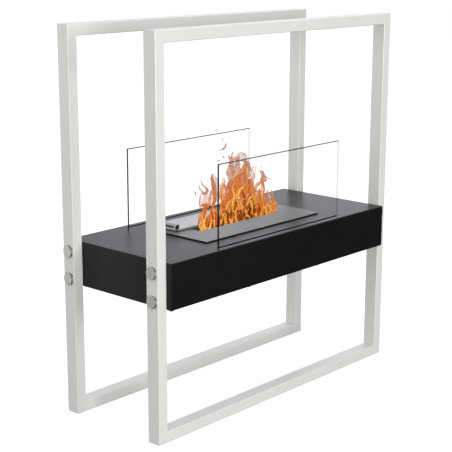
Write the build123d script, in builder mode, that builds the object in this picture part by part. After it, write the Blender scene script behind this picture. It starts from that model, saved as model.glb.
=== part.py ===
# A free-standing bioethanol fireplace: two upright rectangular tube frames, a black sheet-steel
# housing bolted between their posts, a drop-in stainless burner with a sliding lid, and two
# glass panes standing in slots in front of and behind the fire.
# Millimetres. X runs along the housing, Y from front (-) to back (+), Z up.
# The origin is on the floor under the middle of the object.
import os
from build123d import *

os.makedirs("parts", exist_ok=True)

# ---- frames
frame_width = 600.0
frame_height = 650.0
frame_inset = 10.0  # each frame's outer face, in from the housing's front or back
tube_face = 19.0  # tube width seen from the front
tube_depth = 25.0
tube_wall = 1.5
tube_edge = 1.2  # outside radius of the tube's long edges

# ---- housing
housing_bottom = 221.0
housing_height = 75.0
housing_depth = 240.0
sheet = 1.5
fold_radius = 2.2  # outside radius of the folds
return_width = 16.0  # inward flange round the open underside
panel_sheet = 1.2
panel_inset = 4.0  # bottom panel's edge, in from the housing's outline
panel_screws_along = 4
screw_thread = 4.0
screw_head = 7.5
screw_head_height = 2.2
screw_head_chamfer = 0.8
screw_socket = 2.5  # hexagon socket, across its flats
screw_socket_depth = 1.4
screw_length = 8.0

# ---- frame bolts
bolt_thread = 6.0
bolt_pitch = 46.0
bolt_head = 20.0
bolt_head_height = 3.4
bolt_head_chamfer = 0.5
bolt_length = 30.0
bolt_play = 0.3  # radial play in a drilled hole
thread_play = 0.05  # radial gap that stands for the thread
end_plate_thickness = 3.0
end_plate_margin = 11.5  # plate's upright edge, out from the bolts' axes
end_plate_edge_gap = 3.0  # plate's level edge to the housing's inside, above and below
nut_width = 10.0
nut_height = 5.0

# ---- glass
glass_length = 316.0
glass_thickness = 4.0
glass_show = 137.0  # height above the housing
glass_sunk = 18.0  # depth in the slot
glass_inset = 15.0  # pane's middle plane, in from the housing's face
glass_corner = 2.0
glass_arris = 0.4
glass_play = 0.1  # each side of the pane in its rubber strip
strip_wall = 0.9
strip_floor = 2.0
channel_sheet = 1.0
channel_fold = 0.9  # outside radius of the channel's lower folds
channel_flange = 7.0
channel_overhang = 6.0  # channel's length past the slot, each end

# ---- burner
flange_length = 298.0
flange_depth = 142.0
flange_corner = 2.0
flange_sheet = 1.0
flange_round = 0.6  # softened edge of the top plate
seal_thickness = 1.6  # fibre seal between the top plate and the housing
seal_inset = 1.0  # seal's edge, in from the top plate's edge
mouth_length = 205.0
mouth_depth = 27.0
mouth_corner = 5.0
neck_sheet = 1.0
neck_drop = 7.0
neck_roll = 0.8  # rolled edge where the plate turns down into the mouth
pan_length = 260.0
pan_depth = 104.0
pan_drop = 58.0
pan_corner = 8.0
pan_foot = 4.0  # radius round the pan's floor
pan_sheet = 1.0
cutout_play = 2.0
cup_length = 232.0
cup_depth = 60.0
cup_drop = 47.0
cup_corner = 6.0
cup_foot = 3.0  # radius round the cup's floor
cup_sheet = 0.8
wool_height = 24.0
wool_play = 0.3
screen_sheet = 1.0
screen_rim = 4.0
screen_hole = 5.0  # square holes, across their flats
screen_pitch = 13.0

# ---- lid
lid_length = 260.0
lid_depth = 58.0
lid_sheet = 1.5
lid_corner = 1.6
lid_round = 0.6  # softened edge of the lid's top
lid_play = 0.1  # running gap over the burner's top plate
lid_open = 41.0  # how far back the open lid stands from the middle of the mouth
glide_height = 2.5
glide_width = 3.0
glide_inset = 1.5  # glide's edge, in from the lid's edge
pull_length = 46.0
pull_width = 8.0
pull_rise = 11.0
pull_overhang = 1.2  # outer wall's top, past the lid's end
pull_splay = 2.3  # how far the outer wall leans out at its foot
pull_foot_gap = 1.5  # outer wall's foot above the glides' underside
pull_fold = 3.0  # outside radius of the pull's two folds
pull_leg_extra = 2.2  # how far the welded leg runs past the rest, each end
pull_slot_length = 41.0
pull_slot_height = 3.0

# ---- sizes that follow from the ones above
housing_length = frame_width - 2 * tube_face
housing_top = housing_bottom + housing_height
top_underside = housing_top - sheet
post_y = housing_depth / 2 - frame_inset - tube_depth / 2
end_plate_depth = 2 * (post_y + end_plate_margin)
end_plate_height = housing_height - 2 * (sheet + end_plate_edge_gap)
bolt_z = housing_bottom + housing_height / 2
glass_y = housing_depth / 2 - glass_inset
strip_width = glass_thickness + 2 * (glass_play + strip_wall)
strip_length = glass_length + 2 * (glass_play + strip_wall)
strip_depth = glass_sunk + strip_floor
plate_underside = housing_top + seal_thickness
plate_top = plate_underside + flange_sheet
cutout_length = pan_length + 2 * cutout_play
cutout_depth = pan_depth + 2 * cutout_play
neck_length = mouth_length + 2 * neck_sheet
neck_depth = mouth_depth + 2 * neck_sheet
wool_margin = cup_sheet + wool_play
wool_length = cup_length - 2 * wool_margin
wool_depth = cup_depth - 2 * wool_margin
screen_floor = plate_underside - cup_drop + cup_sheet + wool_height
screen_holes_along = int((wool_length - screen_pitch) // screen_pitch)
screen_holes_across = int((wool_depth - screen_pitch) // screen_pitch)
glide_bottom = plate_top + lid_play
lid_underside = glide_bottom + glide_height
lid_top = lid_underside + lid_sheet
pull_outer = -lid_length / 2 - pull_overhang
pull_inner = pull_outer + pull_width
pull_foot = pull_outer - pull_splay
pull_top = glide_bottom + pull_rise
pull_slot_z = pull_top - pull_fold - pull_slot_height / 2
pull_leg_length = pull_length + 2 * pull_leg_extra
hook_width = pull_inner - lid_sheet - pull_foot


def save(part, name):
    # one labelled STEP for each piece
    part.label = name
    export_step(part, f"parts/{name}.step")
    print(name, round(part.volume))


def bolt_plane(side):
    # the posts' outer faces on one side, with the local X along the depth
    outer_face = Vector(side * frame_width / 2, 0, bolt_z)
    return Plane(origin=outer_face, x_dir=(0, 1, 0), z_dir=(side, 0, 0))


def bolt_discs(side, outward, radius):
    # one disc on the axis of each of the four bolts of a side
    with BuildSketch(bolt_plane(side).offset(outward)) as discs:
        with GridLocations(2 * post_y, bolt_pitch, 2, 2):
            Circle(radius)
    return discs.sketch


# ---- the two frames, each of four hollow tubes mitred at 45 degrees
def mitred_tube(name, corner, inward, along, length, bolted_side=0):
    # corner: the frame's outer corner; inward: towards the frame's window
    run = Plane(origin=corner, x_dir=inward, z_dir=along)
    far_corner = corner + along * length
    near_mitre = Plane(origin=corner, z_dir=along - inward)
    far_mitre = Plane(origin=far_corner, z_dir=-along - inward)
    with BuildPart() as tube:
        with BuildSketch(run):
            with Locations((tube_face / 2, 0)):
                RectangleRounded(tube_face, tube_depth, tube_edge)
                Rectangle(tube_face - 2 * tube_wall, tube_depth - 2 * tube_wall, mode=Mode.SUBTRACT)
        extrude(amount=length)
        split(bisect_by=near_mitre, keep=Keep.TOP)
        split(bisect_by=far_mitre, keep=Keep.TOP)
        if bolted_side:
            extrude(
                bolt_discs(bolted_side, 0, bolt_thread / 2 + bolt_play),
                amount=-tube_face,
                mode=Mode.SUBTRACT,
            )
    save(tube.part, name)


to_left = Vector(-1, 0, 0)
to_right = Vector(1, 0, 0)
upward = Vector(0, 0, 1)
downward = Vector(0, 0, -1)
for frame_name, frame_y in (("front", -post_y), ("rear", post_y)):
    low_left = Vector(-frame_width / 2, frame_y, 0)
    low_right = Vector(frame_width / 2, frame_y, 0)
    high_left = Vector(-frame_width / 2, frame_y, frame_height)
    mitred_tube(f"{frame_name}_left_post", low_left, to_right, upward, frame_height, -1)
    mitred_tube(f"{frame_name}_right_post", low_right, to_left, upward, frame_height, 1)
    mitred_tube(f"{frame_name}_bottom_rail", low_left, upward, to_right, frame_width)
    mitred_tube(f"{frame_name}_top_rail", high_left, downward, to_right, frame_width)


# ---- housing: a folded five-sided shell with a return flange round its open underside
def panel_screw_spots():
    # screw positions round the return flange, as plain X, Y points
    edge = return_width / 2 + sheet / 2
    half_x = housing_length / 2 - edge
    half_y = housing_depth / 2 - edge
    step = 2 * half_x / (panel_screws_along - 1)
    along = [-half_x + step * n for n in range(panel_screws_along)]
    return [(x, y) for x in along for y in (-half_y, half_y)]


with BuildPart() as housing_shell:
    with BuildSketch(Plane.XY.offset(housing_bottom)):
        RectangleRounded(housing_length, housing_depth, fold_radius)
    extrude(amount=housing_height)
    fillet(housing_shell.faces().sort_by(Axis.Z)[-1].edges(), fold_radius)
    # inside
    with BuildSketch(Plane.XY.offset(housing_bottom + sheet)):
        RectangleRounded(housing_length - 2 * sheet, housing_depth - 2 * sheet, fold_radius - sheet)
    extrude(amount=housing_height - 2 * sheet, mode=Mode.SUBTRACT)
    # open underside within the return flange
    with BuildSketch(Plane.XY.offset(housing_bottom)):
        Rectangle(housing_length - 2 * return_width, housing_depth - 2 * return_width)
    extrude(amount=sheet, mode=Mode.SUBTRACT)
    with BuildSketch(Plane.XY.offset(housing_bottom)):
        with Locations(*panel_screw_spots()):
            Circle(screw_thread / 2 + thread_play)
    extrude(amount=sheet, mode=Mode.SUBTRACT)
    # burner cut-out and the two glass slots
    with BuildSketch(Plane.XY.offset(housing_top)):
        RectangleRounded(cutout_length, cutout_depth, pan_corner)
        with Locations((0, -glass_y), (0, glass_y)):
            RectangleRounded(strip_length, strip_width, strip_wall)
    extrude(amount=-sheet, mode=Mode.SUBTRACT)
    # bolt holes in the ends
    for side in (-1, 1):
        extrude(
            bolt_discs(side, -tube_face, bolt_thread / 2 + bolt_play),
            amount=-sheet,
            mode=Mode.SUBTRACT,
        )
save(housing_shell.part, "housing_shell")

with BuildPart() as bottom_panel:
    with BuildSketch(Plane.XY.offset(housing_bottom - panel_sheet)):
        RectangleRounded(housing_length - 2 * panel_inset, housing_depth - 2 * panel_inset, fold_radius)
        with Locations(*panel_screw_spots()):
            Circle(screw_thread / 2 + bolt_play, mode=Mode.SUBTRACT)
    extrude(amount=panel_sheet)
save(bottom_panel.part, "bottom_panel")

with BuildPart() as bottom_screws:
    with BuildSketch(Plane.XY.offset(housing_bottom - panel_sheet)):
        with Locations(*panel_screw_spots()):
            Circle(screw_head / 2)
    extrude(amount=-screw_head_height)
    chamfer(bottom_screws.faces().group_by(Axis.Z)[0].edges(), screw_head_chamfer)
    with BuildSketch(Plane.XY.offset(housing_bottom - panel_sheet - screw_head_height)):
        with Locations(*panel_screw_spots()):
            RegularPolygon(screw_socket / 2, 6, major_radius=False)
    extrude(amount=screw_socket_depth, mode=Mode.SUBTRACT)
    with BuildSketch(Plane.XY.offset(housing_bottom - panel_sheet)):
        with Locations(*panel_screw_spots()):
            Circle(screw_thread / 2)
    extrude(amount=screw_length)
save(bottom_screws.part, "bottom_screws")


# ---- inside each end of the housing: a steel plate with four welded nuts, and the bolts
def end_plate(name, side):
    inner_face = -(tube_face + sheet)
    with BuildPart() as plate:
        with BuildSketch(bolt_plane(side).offset(inner_face)):
            Rectangle(end_plate_depth, end_plate_height)
        extrude(amount=-end_plate_thickness)
        extrude(
            bolt_discs(side, inner_face, bolt_thread / 2 + bolt_play),
            amount=-end_plate_thickness,
            mode=Mode.SUBTRACT,
        )
    save(plate.part, name)


def end_nuts(name, side):
    nut_face = bolt_plane(side).offset(-(tube_face + sheet + end_plate_thickness))
    with BuildPart() as nuts:
        with BuildSketch(nut_face):
            with GridLocations(2 * post_y, bolt_pitch, 2, 2):
                RegularPolygon(nut_width / 2, 6, major_radius=False)
                Circle(bolt_thread / 2 + thread_play, mode=Mode.SUBTRACT)
        extrude(amount=-nut_height)
    save(nuts.part, name)


def frame_bolts(name, side):
    with BuildPart() as bolts:
        extrude(bolt_discs(side, 0, bolt_head / 2), amount=bolt_head_height)
        rims = bolts.edges().filter_by(GeomType.CIRCLE).group_by(Axis((0, 0, 0), (side, 0, 0)))[-1]
        chamfer(rims, bolt_head_chamfer)
        extrude(bolt_discs(side, 0, bolt_thread / 2), amount=-bolt_length)
    save(bolts.part, name)


for side_name, side in (("left", -1), ("right", 1)):
    end_plate(f"{side_name}_end_plate", side)
    end_nuts(f"{side_name}_nuts", side)
    frame_bolts(f"{side_name}_bolts", side)


# ---- glass: a hat-section channel under the slot, a rubber strip in it, and the pane
def glass_channel(name, y):
    inside = strip_width / 2
    outside = inside + channel_sheet
    foot = outside + channel_flange
    low = strip_depth - sheet
    with BuildPart() as channel:
        with BuildSketch(Plane.YZ.offset(-strip_length / 2 - channel_overhang)):
            with BuildLine():
                Polyline(
                    (y - foot, top_underside),
                    (y - inside, top_underside),
                    (y - inside, top_underside - low),
                    (y + inside, top_underside - low),
                    (y + inside, top_underside),
                    (y + foot, top_underside),
                    (y + foot, top_underside - channel_sheet),
                    (y + outside, top_underside - channel_sheet),
                    (y + outside, top_underside - low - channel_sheet),
                    (y - outside, top_underside - low - channel_sheet),
                    (y - outside, top_underside - channel_sheet),
                    (y - foot, top_underside - channel_sheet),
                    close=True,
                )
            make_face()
        extrude(amount=strip_length + 2 * channel_overhang)
        outer_folds = channel.edges().filter_by(Axis.X).group_by(Axis.Z)[0]
        fillet(outer_folds, channel_fold)
    save(channel.part, name)


def glass_strip(name, y):
    with BuildPart() as strip:
        with BuildSketch(Plane((0, y, housing_top - strip_depth))):
            RectangleRounded(strip_length, strip_width, strip_wall)
        extrude(amount=strip_depth)
        with BuildSketch(Plane((0, y, housing_top - glass_sunk))):
            Rectangle(glass_length + 2 * glass_play, glass_thickness + 2 * glass_play)
        extrude(amount=glass_sunk, mode=Mode.SUBTRACT)
    save(strip.part, name)


def glass_pane(name, y):
    pane_height = glass_sunk + glass_show
    back_face = Vector(0, y + glass_thickness / 2, housing_top - glass_sunk)
    with BuildPart() as pane:
        with BuildSketch(Plane(origin=back_face, x_dir=(1, 0, 0), z_dir=(0, -1, 0))):
            with Locations((0, pane_height / 2)):
                RectangleRounded(glass_length, pane_height, glass_corner)
        extrude(amount=glass_thickness)
        faces = pane.faces().filter_by(Axis.Y)
        chamfer(faces.edges(), glass_arris)
    save(pane.part, name)


for pane_name, pane_y in (("front", -glass_y), ("rear", glass_y)):
    glass_channel(f"{pane_name}_glass_channel", pane_y)
    glass_strip(f"{pane_name}_glass_strip", pane_y)
    glass_pane(f"{pane_name}_glass", pane_y)


# ---- burner: top plate with a turned-down neck round the mouth, lying on a fibre seal
with BuildPart() as burner_top:
    with BuildSketch(Plane.XY.offset(plate_underside)):
        RectangleRounded(flange_length, flange_depth, flange_corner)
    extrude(amount=flange_sheet)
    fillet(burner_top.faces().sort_by(Axis.Z)[-1].edges(), flange_round)
    with BuildSketch(Plane.XY.offset(plate_underside)):
        RectangleRounded(neck_length, neck_depth, mouth_corner + neck_sheet)
    extrude(amount=-neck_drop)
    with BuildSketch(Plane.XY.offset(plate_top)):
        RectangleRounded(mouth_length, mouth_depth, mouth_corner)
    extrude(amount=-(neck_drop + flange_sheet), mode=Mode.SUBTRACT)
    mouth_rim = burner_top.faces().filter_by(Axis.Z).sort_by(Axis.Z)[-1].inner_wires()[0]
    fillet(mouth_rim.edges(), neck_roll)
save(burner_top.part, "burner_top")

with BuildPart() as burner_seal:
    with BuildSketch(Plane.XY.offset(housing_top)):
        RectangleRounded(flange_length - 2 * seal_inset, flange_depth - 2 * seal_inset, flange_corner)
        RectangleRounded(cutout_length, cutout_depth, pan_corner, mode=Mode.SUBTRACT)
    extrude(amount=seal_thickness)
save(burner_seal.part, "burner_seal")


def open_tray(name, length, depth, drop, corner, foot, steel):
    # a pressed tray that hangs from the underside of the burner's top plate
    with BuildPart() as tray:
        with BuildSketch(Plane.XY.offset(plate_underside)):
            RectangleRounded(length, depth, corner)
        extrude(amount=-drop)
        fillet(tray.faces().sort_by(Axis.Z)[0].edges(), foot)
        offset(amount=-steel, openings=tray.faces().sort_by(Axis.Z)[-1])
    save(tray.part, name)


open_tray("burner_pan", pan_length, pan_depth, pan_drop, pan_corner, pan_foot, pan_sheet)
open_tray("fuel_cup", cup_length, cup_depth, cup_drop, cup_corner, cup_foot, cup_sheet)

with BuildPart() as ceramic_wool:
    with BuildSketch(Plane.XY.offset(screen_floor)):
        RectangleRounded(wool_length, wool_depth, cup_corner)
    extrude(amount=-wool_height)
    fillet(ceramic_wool.faces().sort_by(Axis.Z)[0].edges(), cup_foot)
save(ceramic_wool.part, "ceramic_wool")

with BuildPart() as wool_screen:
    with BuildSketch(Plane.XY.offset(screen_floor)):
        RectangleRounded(wool_length, wool_depth, cup_corner)
    extrude(amount=screen_rim)
    offset(amount=-screen_sheet, openings=wool_screen.faces().sort_by(Axis.Z)[-1])
    with BuildSketch(Plane.XY.offset(screen_floor)):
        with GridLocations(screen_pitch, screen_pitch, screen_holes_along, screen_holes_across):
            Rectangle(screen_hole, screen_hole)
    extrude(amount=screen_sheet, mode=Mode.SUBTRACT)
save(wool_screen.part, "wool_screen")


# ---- lid: a flat plate on a fibre glide that slides over the mouth, shown pushed back
with BuildPart() as lid:
    with BuildSketch(Plane((0, lid_open, lid_underside))):
        RectangleRounded(lid_length, lid_depth, lid_corner)
    extrude(amount=lid_sheet)
    fillet(lid.faces().sort_by(Axis.Z)[-1].edges(), lid_round)
save(lid.part, "lid")

with BuildPart() as lid_glide:
    with BuildSketch(Plane((0, lid_open, glide_bottom))) as ring:
        RectangleRounded(lid_length - 2 * glide_inset, lid_depth - 2 * glide_inset, lid_corner)
        offset(amount=-glide_width, kind=Kind.INTERSECTION, mode=Mode.SUBTRACT)
    extrude(amount=glide_height)
save(lid_glide.part, "lid_glide")

# the pull: a folded strip whose inner leg is welded on the lid's left end, with a slot for the hook
with BuildPart() as lid_pull:
    with BuildSketch(Plane.XZ.offset(-(lid_open + pull_leg_length / 2))):
        with BuildLine():
            FilletPolyline(
                (pull_foot, glide_bottom + pull_foot_gap),
                (pull_outer, pull_top),
                (pull_inner, pull_top),
                (pull_inner, lid_top),
                radius=pull_fold,
            )
            offset(amount=lid_sheet, side=Side.RIGHT)
        make_face()
    extrude(amount=pull_leg_length)
    # the welded leg is a little longer than the rest
    with BuildSketch(Plane((pull_foot + hook_width / 2, lid_open, glide_bottom))):
        with GridLocations(0, pull_length + pull_leg_extra, 1, 2):
            Rectangle(hook_width, pull_leg_extra)
    extrude(amount=pull_rise, mode=Mode.SUBTRACT)
    pull_face = Plane(origin=(pull_foot, lid_open, pull_slot_z), x_dir=(0, 1, 0), z_dir=(-1, 0, 0))
    with BuildSketch(pull_face):
        SlotOverall(pull_slot_length, pull_slot_height)
    extrude(amount=-(pull_splay + 2 * lid_sheet), mode=Mode.SUBTRACT)
save(lid_pull.part, "lid_pull")
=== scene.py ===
import math
import random

import bmesh
import bpy
from mathutils import Matrix, Vector, noise


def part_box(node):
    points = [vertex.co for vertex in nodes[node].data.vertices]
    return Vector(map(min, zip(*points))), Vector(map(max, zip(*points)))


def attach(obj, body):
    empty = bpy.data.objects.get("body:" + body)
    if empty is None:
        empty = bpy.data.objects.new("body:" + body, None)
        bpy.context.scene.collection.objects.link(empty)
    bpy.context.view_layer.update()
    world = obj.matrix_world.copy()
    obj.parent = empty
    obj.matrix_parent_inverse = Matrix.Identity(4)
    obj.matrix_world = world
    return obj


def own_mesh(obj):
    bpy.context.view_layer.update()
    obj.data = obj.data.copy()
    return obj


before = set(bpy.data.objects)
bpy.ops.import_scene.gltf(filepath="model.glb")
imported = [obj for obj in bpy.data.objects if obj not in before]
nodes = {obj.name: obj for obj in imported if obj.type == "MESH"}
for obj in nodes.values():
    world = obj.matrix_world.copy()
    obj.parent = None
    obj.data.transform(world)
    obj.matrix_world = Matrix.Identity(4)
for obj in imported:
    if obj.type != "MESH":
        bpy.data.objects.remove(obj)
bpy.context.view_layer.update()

mm = 0.001
print("frame loaded with", len(nodes), "nodes")


def hexTint(code):  # a colour as seen on screen, turned into the renderer's linear values
    tint = []
    for n in (0, 2, 4):
        part = int(code[n:n + 2], 16) / 255
        tint.append(part / 12.92 if part <= 0.04045 else ((part + 0.055) / 1.055) ** 2.4)
    return (*tint, 1.0)


class Wire:  # a socket that carries a value; arithmetic on it adds Math nodes
    def __init__(self, finish, socket):
        self.finish = finish
        self.socket = socket

    def math(self, operation, *terms):
        return self.finish.add("Math", {"operation": operation}, dict(enumerate(terms)))

    def __add__(self, other):
        return self.math("ADD", self, other)

    def __sub__(self, other):
        return self.math("SUBTRACT", self, other)

    def __rsub__(self, other):
        return self.math("SUBTRACT", other, self)

    def __mul__(self, other):
        return self.math("MULTIPLY", self, other)

    def __truediv__(self, other):
        return self.math("DIVIDE", self, other)

    def __rtruediv__(self, other):
        return self.math("DIVIDE", other, self)

    def __pow__(self, other):
        return self.math("POWER", self, other)

    def __rpow__(self, other):
        return self.math("POWER", other, self)

    def __abs__(self):
        return self.math("ABSOLUTE", self)

    __radd__ = __add__
    __rmul__ = __mul__

    def sine(self):
        return self.math("SINE", self)

    def capped(self):  # held between 0 and 1
        return self.finish.add("Clamp", {}, {"Value": self})

    def eased(self, low, high):  # 0 at low, 1 at high, smooth between and level past them
        return self.finish.add(
            "MapRange", {"interpolation_type": "SMOOTHSTEP"},
            {"Value": self, "From Min": low, "From Max": high},
        )


class Finish:  # one material, or the world, with its nodes
    def __init__(self, name="", tree=None):
        if tree is None:
            self.material = bpy.data.materials.new(name)
            self.material.use_nodes = True
            tree = self.material.node_tree
        self.tree = tree
        tree.nodes.clear()

    def add(self, kind, settings, sockets, out=0):
        node = self.tree.nodes.new("ShaderNode" + kind)
        for key, value in settings.items():
            if key == "stops":
                self.setStops(node.color_ramp, value)
            else:
                setattr(node, key, value)
        for key, value in sockets.items():
            if isinstance(value, Wire):
                self.tree.links.new(value.socket, node.inputs[key])
            else:
                node.inputs[key].default_value = value
        return Wire(self, node.outputs[out]) if node.outputs else None

    def setStops(self, ramp, stops):
        while len(ramp.elements) < len(stops):
            ramp.elements.new(1.0)
        for element, (place, colour) in zip(ramp.elements, stops):
            element.position = place
            element.color = colour

    def place(self):  # where a point is on the object, in metres
        return self.add("TexCoord", {}, {}, "Object")

    def facing(self):  # which way the surface looks there
        return self.add("TexCoord", {}, {}, "Normal")

    def split(self, vector):  # its x, y and z
        first = self.add("SeparateXYZ", {}, {"Vector": vector})
        return [Wire(self, output) for output in first.socket.node.outputs]

    def stretched(self, spot, scale):
        return self.add("VectorMath", {"operation": "MULTIPLY"}, {0: spot, 1: scale})

    def grain(self, spot, scale, detail=2.0, roughness=0.5, distortion=0.0):
        return self.add(
            "TexNoise", {}, {"Vector": spot, "Scale": scale, "Detail": detail,
                             "Roughness": roughness, "Distortion": distortion},
        )

    def mixed(self, share, first, second):  # colours
        return self.add("Mix", {"data_type": "RGBA"}, {0: share, 6: first, 7: second}, 2)

    def bump(self, height, distance):
        return self.add("Bump", {}, {"Height": height, "Distance": distance, "Strength": 1.0})

    def surface(self, sockets):
        return self.add("BsdfPrincipled", {}, sockets)

    def close(self, shader):
        self.add("OutputMaterial", {}, {"Surface": shader})
        return self.material


def dress(material, *names):  # puts a finish on CAD nodes
    for name in names:
        for slot in nodes[name].material_slots:
            slot.material = material


def allNamed(*endings):
    return [name for name in nodes if name.endswith(endings)]


# the camera, fitted to the frames' and the housing's corners
cameraSet = {
    "place": (-1.5234, -1.3589, 0.7770),
    "heading": 47.826,  # degrees from +Y towards +X
    "down": 13.49,  # degrees below level
    "roll": 0.127,  # degrees
    "lens": 94.70,
    "sensor": 36.0,
    "farEnd": 60.0,
}


def makeCamera(settings):
    heading, down, roll = (math.radians(settings[key]) for key in ("heading", "down", "roll"))
    ahead = Vector((
        math.sin(heading) * math.cos(down), math.cos(heading) * math.cos(down), -math.sin(down),
    ))
    level = ahead.cross(Vector((0, 0, 1))).normalized()
    upright = level.cross(ahead)
    right = level * math.cos(roll) + upright * math.sin(roll)
    above = upright * math.cos(roll) - level * math.sin(roll)
    data = bpy.data.cameras.new("photoView")
    data.lens = settings["lens"]
    data.sensor_width = settings["sensor"]
    data.clip_end = settings["farEnd"]
    camera = bpy.data.objects.new("photoView", data)
    turned = Matrix((right, above, -ahead)).transposed()
    camera.matrix_world = Matrix.Translation(settings["place"]) @ turned.to_4x4()
    bpy.context.scene.collection.objects.link(camera)
    bpy.context.scene.camera = camera


makeCamera(cameraSet)
print("camera placed")


# the frames: silver-white powder coat on the tubes; scales are per metre, reliefs in metres
framePaint = {
    "colour": hexTint("E0E0DE"),
    "shade": hexTint("D9D9D6"),
    "flake": hexTint("F4F4F2"),
    "cloud": 9.0,  # slow drift of tone
    "peel": 420.0,  # orange peel
    "fleck": 2600.0,  # fine metallic flecks
    "fleckFrom": 0.55,
    "fleckShare": 0.8,
    "roughness": 0.42,
    "peelRoughness": 0.12,
    "fleckRoughness": 0.1,
    "metallic": 0.12,
    "specular": 0.45,
    "relief": 0.00012,
}


def paintFrames(settings):
    finish = Finish("silverPaint")
    spot = finish.place()
    cloud = finish.grain(spot, settings["cloud"], 2.0)
    fleck = finish.grain(spot, settings["fleck"], 1.0)
    peel = finish.grain(spot, settings["peel"], 2.0, 0.55)
    tone = finish.mixed(cloud, settings["colour"], settings["shade"])
    bright = (fleck - settings["fleckFrom"]) * settings["fleckShare"]
    tone = finish.mixed(bright, tone, settings["flake"])
    peelPart = (peel - 0.5) * settings["peelRoughness"]
    fleckPart = (fleck - 0.5) * settings["fleckRoughness"]
    return finish.close(finish.surface({
        "Base Color": tone,
        "Roughness": settings["roughness"] + peelPart + fleckPart,
        "Metallic": settings["metallic"],
        "Specular IOR Level": settings["specular"],
        "Normal": finish.bump(peel + fleck * 0.25, settings["relief"]),
    }))


dress(paintFrames(framePaint), *allNamed("_post", "_rail"))


# the housing: satin black powder coat with a fine texture
housingBlack = {
    "colour": hexTint("121212"),
    "shade": hexTint("171718"),
    "dustColour": hexTint("8A8A8C"),
    "grit": 1500.0,
    "drift": 14.0,
    "dust": 5200.0,
    "dustShare": 0.12,
    "roughness": 0.34,
    "driftRoughness": 0.06,
    "gritRoughness": 0.14,
    "bend": 1.28,  # a low index keeps the black deep
    "relief": 0.00007,
}


def paintHousing(settings):
    finish = Finish("satinBlack")
    spot = finish.place()
    drift = finish.grain(spot, settings["drift"], 3.0)
    grit = finish.grain(spot, settings["grit"], 2.0, 0.6)
    dust = finish.grain(spot, settings["dust"], 1.0).eased(0.72, 0.8)
    tone = finish.mixed(drift, settings["colour"], settings["shade"])
    tone = finish.mixed(dust * settings["dustShare"], tone, settings["dustColour"])
    driftPart = (drift - 0.5) * settings["driftRoughness"]
    gritPart = (grit - 0.5) * settings["gritRoughness"]
    return finish.close(finish.surface({
        "Base Color": tone,
        "Roughness": settings["roughness"] + driftPart + gritPart,
        "IOR": settings["bend"],
        "Normal": finish.bump(grit, settings["relief"]),
    }))


dress(paintHousing(housingBlack), "housing_shell", "bottom_panel", *allNamed("_channel"))


# the frame bolts: satin nickel with turned rings on the flat heads
postLow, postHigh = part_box("rear_left_post")
plateLow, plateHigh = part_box("left_end_plate")
boltSteel = {
    "colour": hexTint("CAC8C2"),
    "groove": hexTint("B4B2AC"),
    "rim": hexTint("55534F"),  # the head's side, painted darker than its turned face as shade
    "rimShare": 0.8,
    "rimTurn": (0.2, 0.6),  # facing the end less than this it is side, more and it is face
    "paintedGlint": hexTint("EAE8E2"),  # a painted highlight halfway up the side
    "paintedGlintReach": (0.0015, 0.0045),
    "post": (postLow.y + postHigh.y) / 2,  # the bolts' distance from the middle plane
    "height": (plateLow.z + plateHigh.z) / 2,  # of the middle between a post's two bolts
    "pitch": 0.046,  # between those two
    "rings": 5200.0,
    "smear": 260.0,
    "roughness": 0.3,
    "smearRoughness": 0.16,
    "relief": 0.00003,
}


def turnBolts(settings):
    finish = Finish("satinNickel")
    spot = finish.place()
    _, across, rise = finish.split(spot)
    across = abs(across) - settings["post"]
    rise = abs(rise - settings["height"]) - settings["pitch"] / 2
    radius = (across * across + rise * rise) ** 0.5
    rings = (radius * settings["rings"]).sine() * 0.5 + 0.5
    smear = finish.grain(spot, settings["smear"], 3.0, 0.6)
    rim = 1 - abs(finish.split(finish.facing())[0]).eased(*settings["rimTurn"])
    # a painted highlight halfway up the head's side
    paintedGlintShare = 1 - abs(rise).eased(*settings["paintedGlintReach"])
    side = finish.mixed(paintedGlintShare, settings["rim"], settings["paintedGlint"])
    tone = finish.mixed(rings * smear, settings["colour"], settings["groove"])
    return finish.close(finish.surface({
        # the head's side is painted dark as shade
        "Base Color": finish.mixed(rim * settings["rimShare"], tone, side),
        "Metallic": 1.0,
        "Roughness": settings["roughness"] + (smear - 0.5) * settings["smearRoughness"],
        "Normal": finish.bump(rings * 0.6 + smear * 0.4, settings["relief"]),
    }))


dress(turnBolts(boltSteel), *allNamed("_bolts"))


# plated steel inside the housing: zinc with a faint spangle
zincPlate = {
    "colour": hexTint("A9ADB2"),
    "spangle": hexTint("C3C6C6"),
    "warm": hexTint("B5AC93"),
    "warmShare": 0.35,
    "size": 130.0,
    "haze": 24.0,
    "roughness": 0.36,
    "cellRoughness": 0.16,
    "relief": 0.00005,
}


def plateSteel(settings):
    finish = Finish("zincPlate")
    spot = finish.place()
    cells = finish.add("TexVoronoi", {}, {"Vector": spot, "Scale": settings["size"]}, "Distance")
    haze = finish.grain(spot, settings["haze"], 3.0)
    tone = finish.mixed(cells.eased(0.1, 0.8), settings["colour"], settings["spangle"])
    warmth = haze.eased(0.45, 0.75) * settings["warmShare"]
    return finish.close(finish.surface({
        "Base Color": finish.mixed(warmth, tone, settings["warm"]),
        "Metallic": 1.0,
        "Roughness": settings["roughness"] + (cells - 0.4) * settings["cellRoughness"],
        "Normal": finish.bump(haze + cells * 0.3, settings["relief"]),
    }))


dress(plateSteel(zincPlate), "bottom_screws", *allNamed("_nuts", "_end_plate"))


# the rubber strips that hold the panes
stripRubber = {
    "colour": hexTint("060606"),
    "bloomColour": hexTint("121211"),
    "bloom": 90.0,
    "pores": 2400.0,
    "roughness": 0.85,
    "bloomRoughness": 0.2,
    "specular": 0.06,
    "relief": 0.00008,
}


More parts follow.
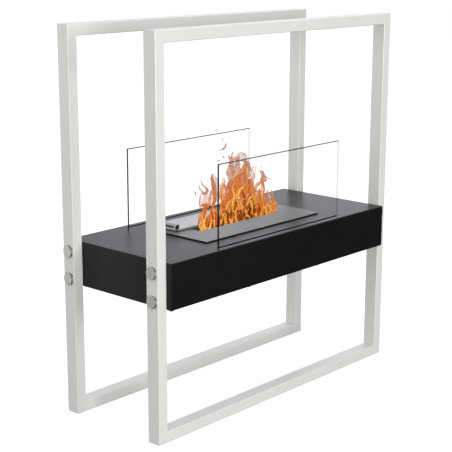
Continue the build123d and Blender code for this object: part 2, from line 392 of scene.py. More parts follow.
def mouldRubber(settings):
    finish = Finish("slotRubber")
    spot = finish.place()
    bloom = finish.grain(spot, settings["bloom"], 4.0, 0.6)
    pores = finish.grain(spot, settings["pores"], 2.0)
    tone = finish.mixed(bloom.eased(0.5, 0.8), settings["colour"], settings["bloomColour"])
    return finish.close(finish.surface({
        "Base Color": tone,
        "Roughness": settings["roughness"] + (bloom - 0.5) * settings["bloomRoughness"],
        "Specular IOR Level": settings["specular"],
        "Normal": finish.bump(pores, settings["relief"]),
    }))


dress(mouldRubber(stripRubber), *allNamed("_strip"))


# braided glass fibre: the burner's black seal and the lid's grey glide
sealFibre = {
    "name": "blackFibre",
    "colour": hexTint("0B0B0B"),
    "thread": hexTint("1C1C1B"),
    "braid": 1500.0,
    "fuzz": 1800.0,
    "roughness": 0.92,
    "weaveRoughness": 0.1,
    "specular": 0.1,
    "relief": 0.00025,
}
glideFibre = dict(
    sealFibre, name="greyFibre", colour=hexTint("5A5A59"), thread=hexTint("7C7C7A"),
)


def braidFibre(settings):
    finish = Finish(settings["name"])
    spot = finish.place()
    along, across, up = finish.split(spot)
    run = along + across
    over = ((run + up) * settings["braid"]).sine()
    under = ((run - up) * settings["braid"]).sine()
    weave = over * under * 0.5 + 0.5
    fuzz = finish.grain(spot, settings["fuzz"], 3.0, 0.6)
    # the braid's crests are painted lighter, as a highlight
    lit = (weave * fuzz * 1.4).capped()
    return finish.close(finish.surface({
        "Base Color": finish.mixed(lit, settings["colour"], settings["thread"]),
        "Roughness": settings["roughness"] - weave * settings["weaveRoughness"],
        "Specular IOR Level": settings["specular"],
        "Normal": finish.bump(weave + fuzz * 0.5, settings["relief"]),
    }))


dress(braidFibre(sealFibre), "burner_seal")
dress(braidFibre(glideFibre), "lid_glide")


# the panes: clear faces, dark green ground edges
paneLow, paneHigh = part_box("rear_glass")
paneGlass = {
    "clear": (0.998, 1.0, 0.999, 1.0),
    "sheen": (0.9, 0.93, 0.92, 1.0),
    "gloss": 0.012,
    "slantGloss": 0.9,  # added at a grazing view
    "slantPower": 5.0,
    "smudge": 18.0,
    "smudgeRoughness": (0.01, 0.05),  # everywhere, and added at a smudge
    "edge": hexTint("0C1311"),
    "edgeDeep": hexTint("050706"),
    "edgeTurn": (0.5, 0.9),
    "edgeRoughness": 0.3,
    "edgeSpecular": 0.1,
    "waveStretch": (1.0, 1.0, 6.0),
    "wave": 60.0,
    "waveRoughness": 0.12,
    "farEdge": hexTint("5C6262"),  # painted light: the right-hand edge is paler and clearer than the left, so it shows as a thin line
    "farFrom": (0.0, 0.1),
    "farClear": (0.76, 0.66),  # how much light it lets through, and less at its arrises
    "top": paneHigh.z,
    "rim": 0.0016,  # the ground edge shows through the face next to it
    "rimShare": 0.8,
    "middle": (paneLow.y + paneHigh.y) / 2,  # of each pane, from the middle of the housing
    "arris": (0.0008, 0.0018),  # how far from a pane's middle its arrises begin
    "relief": 0.0001,
}


def castGlass(settings):
    finish = Finish("clearPane")
    spot = finish.place()
    side = abs(finish.split(finish.facing())[1])
    along, across, up = finish.split(spot)
    rimFoot = settings["top"] - settings["rim"]
    rim = up.eased(rimFoot, settings["top"] - settings["rim"] / 2)
    ground = (1 - side.eased(*settings["edgeTurn"]) + rim * settings["rimShare"]).capped()
    # painted light: the right-hand edge is paler and clearer than the left
    right = along.eased(*settings["farFrom"]) * (1 - rim)
    deep = abs(abs(across) - settings["middle"]).eased(*settings["arris"])
    wave = finish.grain(finish.stretched(spot, settings["waveStretch"]), settings["wave"], 3.0)
    smudge = finish.grain(spot, settings["smudge"], 4.0, 0.6).eased(0.5, 0.8)
    slant = finish.add("LayerWeight", {}, {"Blend": 0.5}, "Facing")
    gloss = slant ** settings["slantPower"] * settings["slantGloss"] + settings["gloss"]
    polish, smear = settings["smudgeRoughness"]
    sheen = finish.add(
        "BsdfGlossy", {}, {"Color": settings["sheen"], "Roughness": smudge * smear + polish},
    )
    through = finish.add("BsdfTransparent", {}, {"Color": settings["clear"]})
    face = finish.add("MixShader", {}, {0: gloss, 1: through, 2: sheen})
    tone = finish.mixed(wave.eased(0.35, 0.65), settings["edgeDeep"], settings["edge"])
    let, shut = settings["farClear"]
    edge = finish.surface({
        "Base Color": finish.mixed(right, tone, settings["farEdge"]),
        "Roughness": settings["edgeRoughness"] + wave * settings["waveRoughness"],
        "Specular IOR Level": settings["edgeSpecular"],
        "Alpha": 1 - right * (let - deep * shut),
        "Normal": finish.bump(wave, settings["relief"]),
    })
    return finish.close(finish.add("MixShader", {}, {0: ground, 1: face, 2: edge}))


dress(castGlass(paneGlass), "front_glass", "rear_glass")
print("frames, housing and glass finished")


# burner, lid and pull: brushed stainless, brushed along the housing
brushedSteel = {
    "broad": (3.0, 60.0, 60.0),  # wide bands; how fine along x, y and z, per metre
    "fingers": 30.0,  # finger marks
    "warmShare": 0.5,
    "lineRoughness": 0.1,
    "broadRoughness": 0.05,
    "fingerRoughness": 0.05,
    "cutRoughness": 0.2,
    "litCutColour": hexTint("B4B4B4"),
    "edge": 0.0,  # how far the edges that look to the front are paled: partly a ground satin, partly a painted highlight
    "gleam": 0.4,  # how far highlights stretch across the brushing
    "relief": 0.000015,
}
burnerSteel = dict(
    brushedSteel,
    name="brushedBurner",
    colour=hexTint("80807E"),
    dark=hexTint("7B7B79"),
    heat=hexTint("7B7367"),  # faint straw tint where the fire warms it
    heatReach=0.034,
    brush=(7.0, 900.0, 900.0),
    roughness=0.46,
)
lidSteel = dict(
    brushedSteel,
    name="brushedLid",
    colour=hexTint("A1A1A1"),
    dark=hexTint("999999"),
    heat=hexTint("A9A196"),
    heatReach=0.018,
    brush=(9.0, 1100.0, 1100.0),
    roughness=0.3,
    edge=0.75,
)
pullSteel = dict(
    lidSteel,
    name="foldedPull",
    inside=(-0.1275, -0.1265),  # past this, what looks left is painted dark as shade
    soot=hexTint("1A1A1A"),
    paintedShadeShare=0.78,
)


def brushSteel(settings):
    finish = Finish(settings["name"])
    spot = finish.place()
    along, across, _ = finish.split(spot)
    lines = finish.grain(finish.stretched(spot, settings["brush"]), 1.0, 3.0, 0.65)
    broad = finish.grain(finish.stretched(spot, settings["broad"]), 1.0, 2.0)
    fingers = finish.grain(spot, settings["fingers"], 4.0, 0.6).eased(0.55, 0.8)
    warmth = (1 - abs(across) / settings["heatReach"]).capped() * fingers
    tone = finish.mixed(lines.eased(0.3, 0.7), settings["dark"], settings["colour"])
    tone = finish.mixed(warmth * settings["warmShare"], tone, settings["heat"])
    endFacing, sideFacing, _ = finish.split(finish.facing())
    # partly a ground satin edge, partly a painted highlight: only faces that look to the front are
    # paled
    litCutEdge = (0 - sideFacing).eased(0.5, 0.9) * settings["edge"]
    if "inside" in settings:
        # painted shade on the fold's inner leg
        shadedLeg = along.eased(*settings["inside"]) * (0 - endFacing).eased(0.4, 0.8)
        tone = finish.mixed(shadedLeg * settings["paintedShadeShare"], tone, settings["soot"])
    return finish.close(finish.surface({
        "Base Color": finish.mixed(litCutEdge, tone, settings["litCutColour"]),
        "Metallic": 1 - litCutEdge,
        "Roughness": (
            settings["roughness"] + (lines - 0.5) * settings["lineRoughness"]
            + (broad - 0.5) * settings["broadRoughness"]
            + fingers * settings["fingerRoughness"] + litCutEdge * settings["cutRoughness"]
        ),
        "Anisotropic": settings["gleam"],
        "Normal": finish.bump(lines, settings["relief"]),
    }))


dress(brushSteel(burnerSteel), "burner_top", "burner_pan", "fuel_cup", "wool_screen")
dress(brushSteel(lidSteel), "lid")
dress(brushSteel(pullSteel), "lid_pull")


# the ceramic wool in the cup
woolWhite = {
    "colour": hexTint("E9E4DA"),
    "scorch": hexTint("8D7B66"),
    "scorchShare": 0.6,
    "fibre": (700.0, 180.0, 300.0),
    "clump": 70.0,
    "roughness": 0.95,
    "fibreRoughness": 0.1,
    "specular": 0.1,
    "relief": 0.0006,
}


def teaseWool(settings):
    finish = Finish("ceramicWool")
    spot = finish.place()
    fibre = finish.grain(finish.stretched(spot, settings["fibre"]), 1.0, 4.0, 0.65, 1.2)
    clump = finish.grain(spot, settings["clump"], 4.0, 0.6)
    scorched = clump.eased(0.5, 0.75) * settings["scorchShare"]
    return finish.close(finish.surface({
        "Base Color": finish.mixed(scorched, settings["colour"], settings["scorch"]),
        "Roughness": settings["roughness"] - fibre * settings["fibreRoughness"],
        "Specular IOR Level": settings["specular"],
        "Normal": finish.bump(fibre + clump * 0.5, settings["relief"]),
    }))


dress(teaseWool(woolWhite), "ceramic_wool")
print("burner, lid and wool finished")


# the fire: closed strands on curved lines, rising out of the cup through the mouth
# each strand's depth (y) and width, then x, z along its line, root first, all in mm
fireLines = {
    "mass": [
        (3, 19, [(-70, 295), (-75, 310), (-73, 323), (-70, 334), (-70, 342)]),
        (3, 16, [(-52, 293), (-55, 310), (-57, 326), (-52, 340), (-50, 355)]),
        (4, 19, [(-31, 293), (-28, 309), (-28, 321), (-28, 334)]),
        (4, 21, [(-12, 293), (-15, 315), (-18, 337), (-20, 354), (-23, 368)]),
        (5, 28, [(7, 293), (7, 317), (4, 339), (9, 360), (20, 376), (30, 395)]),
        (5, 26, [(31, 293), (31, 313), (28, 335), (33, 356), (36, 378)]),
        (5, 24, [(53, 293), (53, 313), (47, 334), (44, 351), (44, 367)]),
        (4, 22, [(71, 294), (68, 313), (68, 329), (71, 345)]),
        (2, 20, [(91, 292), (88, 306), (85, 319)]),
        (-5, 12, [(94, 296), (96, 308), (91, 320)]),
        (5, 26, [(4, 321), (4, 339), (7, 357), (15, 372), (28, 384), (33, 398)]),
        (5, 20, [(-11, 331), (-12, 349), (-9, 363), (-1, 374)]),
        (5, 24, [(28, 328), (31, 346), (33, 364), (36, 378), (33, 391)]),
        (5, 18, [(50, 325), (50, 343), (47, 358), (50, 370)]),
        (4, 15, [(-51, 330), (-49, 344), (-51, 360), (-54, 377), (-54, 385)]),
        (4, 12, [(19, 331), (18, 342), (20, 354)]),
        (3, 9, [(-31, 335), (-34, 348), (-31, 360), (-27, 368)]),
        (4, 18, [(11, 335), (14, 353), (17, 372), (20, 388)]),
        (3, 9, [(71, 320), (74, 335), (74, 350)]),
        (4, 11, [(22, 338), (23, 352), (25, 366), (25, 380)]),
    ],
    "flesh": [
        (0, 11, [(-85, 295), (-78, 304), (-84, 315), (-86, 323), (-79, 330), (-77, 337)]),
        (-2, 5, [(-86, 311), (-92, 321), (-99, 321)]),
        (0, 11, [(-60, 293), (-65, 309), (-60, 320), (-57, 327), (-59, 334)]),
        (2, 10, [(-44, 293), (-48, 307), (-45, 320), (-48, 330)]),
        (3, 12, [(-86, 336), (-75, 337), (-64, 333), (-54, 337), (-47, 343)]),
        (4, 13, [(-53, 330), (-47, 343), (-49, 356)]),
        (2, 12, [(-33, 296), (-34, 318), (-33, 339), (-30, 356), (-24, 373)]),
        (4, 19, [(-25, 294), (-24, 310), (-23, 325), (-25, 340), (-16, 355)]),
        (2, 22, [(-12, 295), (-12, 314), (-5, 334), (-7, 352), (-3, 368)]),
        (4, 24, [(8, 294), (8, 312), (4, 336), (12, 352), (10, 366), (22, 378)]),
        (3, 21, [(25, 293), (25, 310), (23, 325), (31, 340), (29, 359), (31, 373), (27, 391)]),
        (5, 20, [(45, 292), (45, 310), (50, 328), (45, 344), (41, 360), (36, 371)]),
        (3, 18, [(61, 294), (57, 312), (63, 323), (57, 336), (54, 348)]),
        (2, 13, [(74, 294), (71, 313), (74, 328), (80, 339), (78, 349), (69, 357)]),
        (2, 8, [(78, 347), (73, 359), (79, 367), (76, 374), (68, 374)]),
        (1, 8, [(69, 357), (58, 352), (57, 344), (64, 337), (73, 340)]),
        (-5, 13, [(83, 296), (77, 310), (70, 319), (71, 328)]),
        (-7, 9, [(91, 297), (92, 307), (82, 317), (71, 322)]),
        (-9, 7, [(96, 299), (99, 308), (92, 314), (79, 318)]),
        (-10, 6.5, [(97, 300), (101, 311), (93, 323), (88, 333), (87, 342)]),
    ],
    "ridge": [
        (-5, 4.5, [(-91, 298), (-86, 308), (-89, 319), (-93, 326)]),
        (-5, 4, [(-81, 296), (-84, 309), (-79, 322), (-76, 331)]),
        (-5, 4, [(-71, 296), (-66, 308), (-69, 321)]),
        (-5, 4.5, [(-58, 296), (-58, 310), (-61, 323), (-63, 332)]),
        (-5, 4, [(-46, 295), (-38, 308), (-41, 321), (-38, 330)]),
        (-5, 4, [(-33, 295), (-28, 310), (-30, 323), (-28, 331)]),
        (-6, 7, [(-16, 297), (-11, 313), (-13, 327), (-8, 341), (-16, 356)]),
        (-6, 5, [(-3, 299), (-5, 315), (3, 325), (-3, 340), (0, 352)]),
        (-6, 4, [(8, 335), (2, 343), (5, 351), (13, 354), (18, 360)]),
        (-6, 4, [(5, 317), (13, 321), (8, 329), (16, 334), (27, 332)]),
        (-6, 4, [(19, 297), (24, 307), (19, 319), (27, 325), (37, 325), (46, 318)]),
        (-6, 4, [(35, 303), (40, 313), (35, 327), (32, 338)]),
        (-6, 4, [(51, 299), (46, 314), (48, 327), (45, 336)]),
        (-6, 5, [(65, 300), (70, 314), (67, 327), (65, 339), (73, 347), (70, 356)]),
        (-6, 3.4, [(51, 343), (48, 350), (53, 357), (61, 359)]),
        (-7, 4, [(78, 298), (75, 310), (83, 316), (94, 310)]),
        (-7, 4, [(86, 297), (89, 305), (80, 312)]),
        (-9, 3.6, [(101, 296), (101, 309), (95, 321), (92, 333), (89, 341)]),
        (-4, 4.5, [(-19, 374), (-9, 378), (10, 384), (20, 392), (25, 400)]),
        (-4, 5, [(26, 371), (28, 382), (23, 391)]),
        (-3, 4, [(-36, 341), (-38, 354), (-36, 364), (-31, 369)]),
        (-4, 3, [(-17, 407), (-11, 410), (-1, 407)]),
        (-4, 3.6, [(-13, 410), (-4, 411), (7, 406)]),
        (-4, 3.2, [(-10, 400), (-2, 400), (4, 404)]),
        (-6, 6, [(-15, 329), (-9, 344), (-13, 359), (-7, 368)]),
        (-6, 5, [(1, 340), (6, 352), (17, 359), (26, 362)]),
        (-6, 4, [(-30, 322), (-25, 332), (-15, 337)]),
        (-6, 4, [(25, 322), (31, 332), (39, 336), (41, 347)]),
        (-7, 5, [(65, 303), (72, 311), (82, 316), (90, 319)]),
        (-7, 4, [(76, 303), (85, 307), (93, 313), (90, 321)]),
        (-6, 3.6, [(49, 351), (55, 357), (66, 354)]),
    ],
    "blush": [
        (6, 24, [(5, 360), (-5, 378), (-5, 394), (2, 407)]),
        (6, 24, [(11, 367), (10, 381), (13, 395), (16, 407)]),
        (6, 20, [(29, 364), (37, 377), (40, 390), (31, 403)]),
        (3, 12, [(-47, 335), (-47, 353), (-52, 369), (-57, 382), (-52, 389)]),
        (2, 3, [(-58, 383), (-53, 387), (-43, 389)]),
        (2, 5, [(46, 377), (43, 386), (38, 396), (30, 400)]),
        (-1, 8, [(60, 320), (62, 331), (59, 341)]),
        (1, 8, [(-84, 366), (-82, 360), (-75, 357), (-70, 362), (-75, 368), (-82, 374), (-87, 384)]),
        (1, 4, [(-87, 363), (-89, 370), (-92, 379)]),
        (1, 5, [(-19, 418), (-14, 410), (-8, 411), (-6, 418), (-6, 423)]),
        (1, 9, [(-14, 406), (-3, 409), (5, 408), (10, 410), (10, 417)]),
        (-1, 5, [(-18, 407), (-13, 398), (-5, 393), (2, 396)]),
        (1, 14, [(75, 352), (78, 362), (74, 372), (66, 378)]),
        (2, 4, [(52, 360), (54, 368), (51, 378)]),
        (0, 4, [(-88, 334), (-91, 344), (-88, 354), (-83, 359)]),
        (2, 5, [(-11, 404), (-11, 411), (-18, 418)]),
        (2, 4.5, [(-7, 406), (-7, 414), (-5, 421)]),
        (2, 5, [(4, 401), (6, 409), (8, 417)]),
        (2, 6, [(15, 402), (26, 399), (35, 392), (43, 380)]),
        (2, 3.5, [(18, 414), (28, 411), (38, 403)]),
        (2, 7, [(26, 380), (32, 388), (30, 400)]),
        (0, 4, [(-76, 368), (-71, 363), (-77, 357), (-86, 360)]),
        (1, 5, [(57, 352), (52, 340), (55, 329)]),
        (2, 12, [(-66, 332), (-62, 346), (-60, 361)]),
        (2, 9, [(6, 392), (10, 402), (14, 410)]),
        (2, 9, [(52, 326), (49, 344), (50, 361)]),
        (0, 14, [(90, 313), (86, 326), (90, 338)]),
        (1, 9, [(61, 348), (66, 355), (75, 354), (79, 345), (79, 334)]),
    ],
    "haze": [
        (6, 28, [(-69, 333), (-69, 347), (-67, 361)]),
        (6, 18, [(-39, 333), (-39, 353), (-41, 371), (-47, 384)]),
        (7, 24, [(-25, 329), (-20, 346), (-25, 361), (-20, 378)]),
        (6, 22, [(18, 416), (29, 405), (42, 391)]),
        (5, 14, [(55, 331), (52, 354), (58, 371), (63, 390)]),
        (6, 18, [(99, 309), (98, 322), (93, 338)]),
        (7, 22, [(1, 382), (-2, 397), (1, 407)]),
        (5, 11, [(-48, 334), (-46, 362), (-44, 388)]),
        (5, 10, [(-83, 336), (-84, 349), (-82, 359)]),
        (5, 12, [(54, 358), (52, 376), (56, 392)]),
    ],
    "soot": [
        (0, 7.1, [(-43, 427), (-34, 428), (-26, 432), (-23, 439)]),
        (0, 3.7, [(-36, 448), (-33, 446), (-30, 442)]),
        (0, 3.4, [(-103, 366), (-100, 361), (-98, 355)]),
        (0, 4, [(-31, 417), (-29, 414), (-28, 412)]),
        (0, 3.4, [(79, 366), (89, 361), (102, 355)]),
        (0, 3.7, [(86, 357), (80, 356), (74, 358)]),
        (0, 3.4, [(-46, 409), (-42, 410), (-37, 408)]),
        (0, 3.1, [(68, 385), (70, 383), (71, 381)]),
    ],
    "ember": [
        (-1, 6, [(-69, 295), (-69, 302), (-69, 309)]),
        (-4, 14, [(-26, 294), (-24, 306), (-21, 318)]),
        (-4, 12, [(-11, 296), (-13, 307), (-16, 320)]),
        (-4, 13, [(10, 296), (10, 307), (8, 318)]),
        (-4, 12, [(35, 297), (34, 307), (40, 317)]),
        (-4, 9, [(-47, 295), (-47, 308), (-45, 320)]),
        (-3, 5, [(-5, 333), (6, 327), (17, 329)]),
        (-3, 5, [(44, 310), (44, 320), (46, 326)]),
        (-3, 6, [(63, 302), (63, 311), (60, 319)]),
        (-7, 5, [(95, 297), (92, 303), (94, 308)]),
        (-2, 5, [(-70, 333), (-65, 334), (-60, 333)]),
        (-3, 4, [(19, 318), (27, 313), (33, 318)]),
        (-3, 4, [(-36, 302), (-38, 312), (-33, 318)]),
        (-3, 4, [(-7, 310), (-12, 320), (-7, 326)]),
        (-3, 3, [(11, 334), (19, 331), (25, 335)]),
        (-6, 7, [(-30, 300), (-27, 313), (-33, 324)]),
        (-6, 7, [(-9, 301), (-12, 314), (-7, 325)]),
        (-6, 7, [(20, 301), (17, 314), (25, 324)]),
        (-6, 7, [(50, 302), (44, 314), (52, 321)]),
    ],
}
# what each kind of strand is made of: colours from the coolest to the hottest, how solid,
# how soft its edges, how torn, added heat and how grey its rims turn as it cools;
# the count is of strands that the draught draws up, with their widths and depths in mm
gas = {
    "haze": {
        "colours": ("D2A6A2", "DFB8B0", "EECEC2"),
        "solid": 0.66, "soft": 1.0, "torn": 0.04, "lift": 0.0, "rim": 1.0,
    },
    "mass": {
        "colours": ("7A2E12", "D4622C", "EE9C42"),
        "solid": 0.97, "soft": 0.7, "torn": 0.06, "lift": 0.0, "rim": 0.25,
    },
    "flesh": {
        "colours": ("82300F", "D96C2C", "F4AA4E"),
        "solid": 0.9, "soft": 0.75, "torn": 0.22, "lift": 0.0, "rim": 0.8,
        "count": 26, "width": (8, 15), "depth": (-3, 8),
    },
    "ember": {
        "colours": ("2E0F06", "7A2C10", "B24C1A"),
        "solid": 0.85, "soft": 0.9, "torn": 0.2, "lift": 0.0, "rim": 0.0,
        "count": 34, "width": (3, 7), "depth": (-8, 2),
    },
    "blush": {
        "colours": ("925450", "BC7C6C", "E08C50"),
        "solid": 0.8, "soft": 0.6, "torn": 0.16, "lift": 0.0, "rim": 1.0,
    },
    "ridge": {
        "colours": ("C8641C", "EC9A34", "FFD878"),
        "solid": 0.92, "soft": 0.6, "torn": 0.3, "lift": 0.14, "rim": 0.3,
        "count": 26, "width": (3, 6), "depth": (-11, -2),
    },
    "soot": {
        "colours": ("6E6A64", "9A6650", "C07A50"),
        "solid": 1.4, "soft": 0.7, "torn": 0.1, "lift": 0.0, "rim": 1.0,
    },
}
# how the strands are laid; lengths in mm, angles in radians
fire = {
    "foot": 284.0,  # rooted strands start under the mouth
    "mouth": 300.0,  # a strand that starts below this is rooted in the cup
    "ends": (-94.0, 101.0),  # how far along the mouth the fire reaches
    "back": 8.0,  # past this depth a strand is pressed flatter, so that it clears the lid
    "press": 0.4,  # what is left of the depth past it
    "seed": 83,
    "rings": 24,
    "sides": 10,
    "flatness": 0.42,  # a strand's thickness over its width
    "phase": (0, 6.3),  # where its twist and its ripples may start
    "spin": (-0.5, 0.3),  # how far its broad side may be turned
    "twist": (4.2, 0.4),  # how often and how far it turns on its way up
    "ripples": ((0.14, 15, 1), (0.1, 27, 2)),  # how deep, how often and how shifted
    "rootSwell": (0.7, 1.6),  # its share of the full width at the root, and its growth
    "freeSwell": (0.08, 2.6),  # the same for a strand that isn't rooted
    "slimming": 0.55,  # how bluntly it narrows to its tip
    # how tall the drawn-up strands may stand over the mouth, x and height
    "crest": [(-100, 14), (-88, 34), (-74, 34), (-58, 38), (-40, 46), (-20, 66), (0, 84),
              (22, 86), (36, 66), (54, 46), (74, 44), (88, 20), (101, 12)],
    "crestShare": (0.3, 0.95),
    "leastRise": 13,  # added to every drawn-up strand's height
    "drawnSpan": (-90, 101),  # where the drawn-up strands stand along the mouth
    "jitter": (0.1, 0.9),  # where in its share of the span a drawn-up strand starts
    "steps": 8,
    "calmSteps": 2,  # before it sways in full
    "swirl": 11.0,  # size of the draught's eddies
    "eddyShape": (1.0, 2.0, 0.8),
    "sway": (1.2, 2.4),  # at the foot, and added on the way up
    "inward": 0.02,  # how fast it is drawn to the middle plane
}
strandMarks = ("rise", "core", "tone")  # how far up, how near its middle, and its own tone


def crestAt(x):
    marks = fire["crest"]
    for (x0, h0), (x1, h1) in zip(marks, marks[1:]):
        if x <= x1:
            return h0 + (h1 - h0) * max(0.0, (x - x0) / (x1 - x0))
    return marks[-1][1]


def smoothLine(knots, count):  # points along a curve through the knots
    ends = [knots[0] * 2 - knots[1]] + knots + [knots[-1] * 2 - knots[-2]]
    line = []
    for n in range(count):
        along = n / (count - 1) * (len(knots) - 1)
        k = min(int(along), len(knots) - 2)
        t = along - k
        a, b, c, d = ends[k:k + 4]
        line.append(0.5 * (2 * b + (c - a) * t + (2 * a - 5 * b + 4 * c - d) * t * t
                           + (3 * b - a - 3 * c + d) * t ** 3))
    return line


def taper(rise, rooted):  # a strand's width along its rise, as a share of the full width
    start, growth = fire["rootSwell" if rooted else "freeSwell"]
    swell = min(1.0, start + rise * growth)
    if not rooted:
        swell = math.sin(swell * math.pi / 2)
    return swell * max(0.0, 1 - rise) ** fire["slimming"]


def rippled(rise, phase):
    ripple = 1
    for depth, pace, shift in fire["ripples"]:
        ripple += depth * math.sin(rise * pace + phase * shift)
    return ripple


def layStrand(mesh, layers, knots, width, rooted, draw):
    line = smoothLine(knots, fire["rings"])
    phase = draw.uniform(*fire["phase"])
    spin = draw.uniform(*fire["spin"])
    tone = draw.random()
    twistPace, twistReach = fire["twist"]
    rows = []
    for n, spot in enumerate(line[:-1]):
        rise = n / (fire["rings"] - 1)
        along = (line[n + 1] - line[max(0, n - 1)]).normalized()
        turn = spin + math.sin(rise * twistPace + phase) * twistReach
        broad = Vector((math.cos(turn), math.sin(turn), 0))
        broad = (broad - along * broad.dot(along)).normalized()
        thin = along.cross(broad)
        half = width / 2 * taper(rise, rooted) * rippled(rise, phase)
        row = []
        for k in range(fire["sides"]):
            angle = 2 * math.pi * k / fire["sides"]
            reach = broad * math.cos(angle) * half
            reach = reach + thin * math.sin(angle) * half * fire["flatness"]
            skin = spot + reach
            skin.y = min(skin.y, fire["back"] + (skin.y - fire["back"]) * fire["press"])
            vert = mesh.verts.new(skin * mm)
            vert[layers["rise"]] = rise
            vert[layers["core"]] = abs(math.sin(angle))
            vert[layers["tone"]] = tone
            row.append(vert)
        rows.append(row)
    tip = mesh.verts.new(line[-1] * mm)
    tip[layers["rise"]] = 1.0
    tip[layers["tone"]] = tone
    for low, high in zip(rows, rows[1:]):
        for k in range(fire["sides"]):
            m = (k + 1) % fire["sides"]
            mesh.faces.new((low[k], low[m], high[m], high[k]))
    for k in range(fire["sides"]):
        mesh.faces.new((rows[-1][k], rows[-1][(k + 1) % fire["sides"]], tip))
    mesh.faces.new(list(reversed(rows[0])))


# how the gas is coloured by its place and its marks; lengths in metres
gasLook = {
    "foot": 0.298,  # where the fire's climb starts
    "height": 0.12,  # of the whole climb
    "streak": {"stretch": (1.0, 1.0, 0.7), "noise": (210.0, 4.0, 0.62, 3.4)},
    "curl": {"stretch": (1.0, 1.0, 0.6), "noise": (95.0, 2.0, 0.5, 2.2)},
    "rootEnd": (0.02, 0.3),  # the fire is darker where it leaves the mouth
    "leftEnd": (-0.075, -0.03),  # but not at its two ends
    "rightEnd": (0.05, 0.085),
    "heat": {"streak": 3.0, "curl": 0.8, "core": 0.15, "tone": 0.25, "root": 0.3, "loss": 1.64},
    "warmStop": 0.4,  # the heat that has the middle colour
    "cooled": hexTint("BC8478"),
    "coolFrom": (0.4, 1.0),
    "coolShare": (0.6, 0.75),  # at the most, and how far heat keeps it off
    "smoke": hexTint("86716A"),  # cooled tongues have grey rims
    "smokeRim": (0.3, 0.95),
    "smokeFrom": (0.25, 0.6),
    "tornRoot": 0.6,  # a strand is more whole towards its root
    "tornWidth": 0.28,
    "thinning": 0.4,  # how much fainter the fire is at its top
    "unlit": hexTint("2A1008"),  # its colour without its own glow
}


def litGas(kind):
    settings = gas[kind]
    cool, warm, hot = (hexTint(code) for code in settings["colours"])
    finish = Finish(kind + "Gas")
    spot = finish.place()
    rise, core, tone = (
        finish.add("Attribute", {"attribute_name": mark}, {}, "Fac") for mark in strandMarks
    )
    across, _, height = finish.split(spot)
    climb = ((height - gasLook["foot"]) / gasLook["height"]).capped()  # 0 at the mouth
    streak, curl = (
        finish.grain(finish.stretched(spot, gasLook[key]["stretch"]), *gasLook[key]["noise"])
        for key in ("streak", "curl")
    )
    rooted = 1 - climb.eased(*gasLook["rootEnd"])
    middle = across.eased(*gasLook["leftEnd"]) * (1 - across.eased(*gasLook["rightEnd"]))
    adds = gasLook["heat"]
    heat = (
        streak * adds["streak"] + curl * adds["curl"] + core * adds["core"]
        + tone * adds["tone"] - rooted * middle * adds["root"] - adds["loss"] + settings["lift"]
    ).capped()
    stops = [(0.0, cool), (gasLook["warmStop"], warm), (1.0, hot)]
    colour = finish.add("ValToRGB", {"stops": stops}, {"Fac": heat})
    coolMost, heatHold = gasLook["coolShare"]
    cooling = climb.eased(*gasLook["coolFrom"]) * (1 - heat * heatHold)
    faded = finish.mixed(cooling * coolMost, colour, gasLook["cooled"])
    rim = 1 - core.eased(*gasLook["smokeRim"])
    smoky = rim * climb.eased(*gasLook["smokeFrom"]) * settings["rim"]
    edge = core.eased(0.0, settings["soft"])
    whole = curl + (1 - rise) * gasLook["tornRoot"]
    torn = whole.eased(settings["torn"], settings["torn"] + gasLook["tornWidth"])
    thinned = 1 - climb * gasLook["thinning"]
    return finish.close(finish.surface({
        "Base Color": gasLook["unlit"],
        "Roughness": 1.0,
        "Specular IOR Level": 0.0,
        "Emission Color": finish.mixed(smoky, faded, gasLook["smoke"]),
        "Emission Strength": 1.0,
        "Alpha": (edge * torn * thinned * settings["solid"]).capped(),
    }))


def growFire(kind, strands, draw):
    mesh = bmesh.new()
    layers = {mark: mesh.verts.layers.float.new(mark) for mark in strandMarks}
    for knots, width, rooted in strands:
        layStrand(mesh, layers, knots, width, rooted, draw)
    data = bpy.data.meshes.new("fire_" + kind)
    mesh.to_mesh(data)
    mesh.free()
    for face in data.polygons:
        face.use_smooth = True
    data.materials.append(litGas(kind))
    piece = bpy.data.objects.new("fire_" + kind, data)
    bpy.context.scene.collection.objects.link(piece)
    piece.visible_shadow = False
    piece.visible_glossy = False
    piece.visible_diffuse = False
    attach(piece, "burner")
    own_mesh(piece)


def keptInMouth(x, width):
    left, right = fire["ends"]
    return max(left + width / 2, min(right - width / 2, x))


def setStrands(kind):  # the strands with a line of their own
    strands = []
    for depth, width, line in fireLines[kind]:
        rooted = line[0][1] < fire["mouth"]
        if rooted:
            line = [(keptInMouth(line[0][0], width), fire["foot"])] + line
        strands.append(([Vector((x, depth, z)) for x, z in line], width, rooted))
    return strands


def drawnStrands(settings, draw):  # strands carried up by a swirling draught
    strands = []
    left, right = fire["drawnSpan"]
    steps = fire["steps"]
    firstSway, addedSway = fire["sway"]
    for n in range(settings["count"]):
        width = draw.uniform(*settings["width"])
        start = n + draw.uniform(*fire["jitter"])
        x = keptInMouth(left + (right - left) * start / settings["count"], width)
        y = draw.uniform(*settings["depth"])
        tall = crestAt(x) * draw.uniform(*fire["crestShare"]) + fire["leastRise"]
        spot = Vector((x, y, fire["foot"]))
        knots = [spot.copy()]
        for step in range(steps):
            climb = step / steps
            place = Vector([part * share for part, share in zip(spot, fire["eddyShape"])])
            eddy = noise.noise(place / fire["swirl"])
            lean = eddy * (firstSway + addedSway * climb) * min(1.0, step / fire["calmSteps"])
            ahead = Vector((math.sin(lean), -y * fire["inward"], math.cos(lean)))
            spot = spot + ahead * tall / steps
            spot.x = keptInMouth(spot.x, width)
            knots.append(spot.copy())
        strands.append((knots, width, True))
    return strands


strandCount = 0
for n, (kind, settings) in enumerate(gas.items()):
    draw = random.Random(fire["seed"] + n)
    strands = setStrands(kind)
    if "count" in settings:
        strands += drawnStrands(settings, draw)
    growFire(kind, strands, draw)
    strandCount += len(strands)
print("fire laid with", strandCount, "strands")


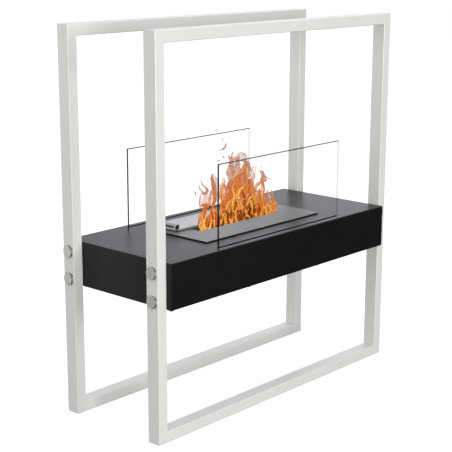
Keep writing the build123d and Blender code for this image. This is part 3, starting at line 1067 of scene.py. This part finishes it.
# the floor, the lamps and the world around them; lengths in metres, power in watts
studio = {
    "floor": hexTint("A0A09E"),
    "floorCloud": hexTint("9A9A98"),
    "cloud": 3.0,
    "cloudShare": 0.2,
    "reach": 7,  # half the floor's width
    "white": (1.0, 1.0, 1.0, 1.0),
    "glow": 0.8,
    "layers": 48,  # the fire is many thin layers deep
    "room": [  # soft light from a direction: where, how wide (cosines), its colour and strength
        ((0.0, 0.0, 1.0), 0.2, 0.95, (1.0, 1.0, 1.0)),
        ((0.0, 1.0, 0.15), 0.0, 0.9, (0.2, 0.2, 0.2)),
        ((-1.0, 0.0, 0.15), 0.0, 0.9, (0.31, 0.31, 0.31)),
        ((0.857, 0.456, 0.24), 0.84, 0.99, (1.26, 1.24, 1.35)),
        ((-0.72, 0.65, -0.25), 0.8, 0.98, (0.25, 0.25, 0.25)),
    ],
    "lamps": {
        "leftKey": {
            "place": (-1.6, -3.4, 0.7), "aim": (-0.1, 0, 0.33), "size": (1.6, 1.2), "power": 88.0,
        },
        "frontKey": {
            "place": (0.3, -3.8, 1.3), "aim": (0, 0, 0.33), "size": (1.6, 1.2), "power": 62.0,
        },
        "strip": {
            "place": (-1.1, 1.9, 0.4), "aim": (-0.3, 0, 0.33), "size": (0.5, 1.6), "power": 9.5,
        },
        "farSide": {
            "place": (3.2, 0.3, 1.1), "aim": (0, 0, 0.33), "size": (0.8, 1.2), "power": 20.0,
        },
    },
}


def paintFloor(settings):
    finish = Finish("paleFloor")
    cloud = finish.grain(finish.place(), settings["cloud"], 2.0)
    share = cloud * settings["cloudShare"]
    return finish.close(finish.surface({
        "Base Color": finish.mixed(share, settings["floor"], settings["floorCloud"]),
        "Roughness": 0.9,
        "Specular IOR Level": 0.1,
        "Emission Color": settings["white"],
        "Emission Strength": settings["glow"],
    }))


def layFloor(settings):
    mesh = bmesh.new()
    reach = settings["reach"]
    corners = ((-1, -1), (1, -1), (1, 1), (-1, 1))
    mesh.faces.new([mesh.verts.new((x * reach, y * reach, 0)) for x, y in corners])
    data = bpy.data.meshes.new("floor")
    mesh.to_mesh(data)
    mesh.free()
    data.materials.append(paintFloor(settings))
    floor = bpy.data.objects.new("floor", data)
    bpy.context.scene.collection.objects.link(floor)
    floor.visible_glossy = False  # the black housing mirrors the room, not the floor's glow
    floor.visible_diffuse = False


def hangLight(name, settings):
    data = bpy.data.lights.new(name, "AREA")
    data.shape = "RECTANGLE"
    data.size, data.size_y = settings["size"]
    data.energy = settings["power"]
    lamp = bpy.data.objects.new(name, data)
    lamp.location = settings["place"]
    toward = Vector(settings["aim"]) - Vector(settings["place"])
    lamp.rotation_euler = toward.to_track_quat("-Z", "Y").to_euler()
    bpy.context.scene.collection.objects.link(lamp)


def lightRoom(settings):
    world = bpy.data.worlds.new("studio")
    bpy.context.scene.world = world
    world.use_nodes = True
    room = Finish(tree=world.node_tree)
    facing = room.add("TexCoord", {}, {}, "Generated")
    glow = (0.0, 0.0, 0.0)
    for toward, low, high, colour in settings["room"]:
        aim = Vector(toward).normalized()
        along = room.add("VectorMath", {"operation": "DOT_PRODUCT"}, {0: facing, 1: aim}, "Value")
        share = along.eased(low, high)
        lobe = room.add("VectorMath", {"operation": "SCALE"}, {0: colour, "Scale": share})
        glow = room.add("VectorMath", {"operation": "ADD"}, {0: glow, 1: lobe})
    seen = room.add("LightPath", {}, {}, "Is Camera Ray")
    backdrop = room.mixed(seen, glow, settings["white"])
    shade = room.add("Background", {}, {"Color": backdrop})
    room.add("OutputWorld", {}, {"Surface": shade})


layFloor(studio)
for name, lamp in studio["lamps"].items():
    hangLight(name, lamp)
lightRoom(studio)

scene = bpy.context.scene
scene.view_settings.view_transform = "Standard"
scene.view_settings.look = "None"
scene.cycles.transparent_max_bounces = studio["layers"]
print("studio lit")
